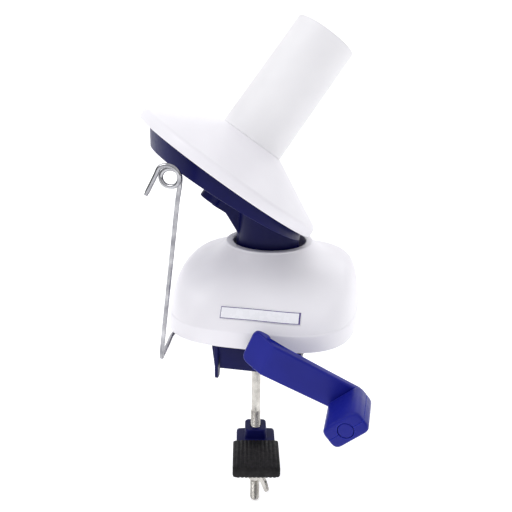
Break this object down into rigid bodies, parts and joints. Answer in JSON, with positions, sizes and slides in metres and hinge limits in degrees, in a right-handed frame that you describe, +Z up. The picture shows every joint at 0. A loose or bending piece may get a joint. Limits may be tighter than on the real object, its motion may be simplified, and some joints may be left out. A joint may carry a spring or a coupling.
{
  "type": "yarn ball winder",
  "caption": "Hand-cranked yarn ball winder: tilted spool on a geared turret, wire yarn guide, a crank with a turning knob and a screw clamp for a table edge.",
  "frame": {"origin": "on the underside of the base, below the turret's upright axis", "axes": "+Z up; -Y towards the operator, where the crank and the clamp are; +X to the operator's right"},
  "size_m": [0.1455, 0.1608, 0.2942],
  "materials": {
    "white_plastic": "smooth satin white moulded plastic with a faint lavender tint",
    "spindle_plastic": "matt white moulded plastic",
    "label_film": "blank white printed film with a thin dark frame",
    "cobalt_plastic": "bright cobalt blue moulded plastic",
    "navy_plastic": "dark navy blue moulded plastic",
    "natural_acetal": "natural off-white acetal",
    "plated_steel": "nickel-plated steel",
    "guide_chrome": "bright plated spring wire",
    "bush_bronze": "plain sintered bronze",
    "boot_rubber": "matt black ribbed rubber"
  },
  "bodies": {
    "base": {"base_housing": "white_plastic", "chassis_plate": "navy_plastic", "clamp_bracket": "navy_plastic", "front_label": "label_film", "turret_bush": "bush_bronze", "center_post": "plated_steel", "sun_gear": "natural_acetal", "post_nut": "plated_steel", "thrust_washer": "plated_steel", "crank_bush_front": "bush_bronze", "crank_bush_rear": "bush_bronze", "idler_post": "plated_steel", "guide_bush": "natural_acetal", "clamp_rod": "plated_steel", "rod_nut_upper": "plated_steel", "rod_nut_lower": "plated_steel", "housing_screw_1": "plated_steel", "housing_screw_2": "plated_steel", "housing_screw_3": "plated_steel", "housing_screw_4": "plated_steel", "bracket_screw_1": "plated_steel", "bracket_screw_2": "plated_steel", "bracket_screw_3": "plated_steel", "bracket_screw_4": "plated_steel"},
    "crank": {"crank_arm": "cobalt_plastic", "knob_pin": "cobalt_plastic", "crank_shaft": "plated_steel", "crown_gear": "natural_acetal"},
    "knob": {"knob_half_upper": "cobalt_plastic", "knob_half_lower": "cobalt_plastic"},
    "idler": {"idler_gear": "natural_acetal"},
    "turret": {"turret_frame": "navy_plastic", "drive_gear": "natural_acetal", "spool_axle": "plated_steel", "axle_nut": "plated_steel", "axle_washer": "plated_steel"},
    "spool": {"spool_cup": "white_plastic", "spindle_tube": "spindle_plastic", "planet_gear": "natural_acetal"},
    "guide": {"wire_guide": "guide_chrome"},
    "jaw_carrier": {"clamp_washer": "plated_steel"},
    "wing": {"wing_nut": "plated_steel"},
    "jaw": {"clamp_jaw": "navy_plastic", "jaw_boot": "boot_rubber"}
  },
  "joints": [
    {"name": "turret_spin", "type": "hinge", "parent": "base", "child": "turret", "pos_m": [0, 0, 0.05], "axis": [0, 0, 1], "continuous": true},
    {"name": "spool_spin", "type": "hinge", "parent": "turret", "child": "spool", "pos_m": [0, 0, 0.1259], "axis": [0.537, 0.2391, 0.809], "continuous": true},
    {"name": "idler_spin", "type": "hinge", "parent": "base", "child": "idler", "pos_m": [0, -0.017, 0.02], "axis": [0, 0, 1], "continuous": true},
    {"name": "crank_spin", "type": "hinge", "parent": "base", "child": "crank", "pos_m": [0.006, -0.05, 0.0055], "axis": [0, 1, 0], "continuous": true},
    {"name": "knob_spin", "type": "hinge", "parent": "crank", "child": "knob", "pos_m": [0.05836, -0.09, -0.01651], "axis": [0, 1, 0], "continuous": true},
    {"name": "guide_swing", "type": "hinge", "parent": "base", "child": "guide", "pos_m": [-0.045, -0.03, 0.004], "axis": [0, 0, 1], "range_deg": [-100, 10]},
    {"name": "jaw_lift", "type": "slide", "parent": "base", "child": "jaw_carrier", "axis": [0, 0, 1], "range_m": [-0.0145, 0.0355]},
    {"name": "nut_spin", "type": "hinge", "parent": "jaw_carrier", "child": "wing", "pos_m": [0, -0.0375, -0.094], "axis": [0, 0, 1], "range_deg": [-5220, 12780]},
    {"name": "jaw_swivel", "type": "hinge", "parent": "jaw_carrier", "child": "jaw", "pos_m": [0, -0.0375, -0.075], "axis": [0, 0, 1], "continuous": true}
  ],
  "couplings": [
    {"joint": "spool_spin", "follows": "turret_spin", "ratio": 0.44444},
    {"joint": "idler_spin", "follows": "turret_spin", "ratio": -1},
    {"joint": "crank_spin", "follows": "turret_spin", "ratio": -0.4},
    {"joint": "nut_spin", "follows": "jaw_lift", "rad_per_m": 6283.2}
  ]
}
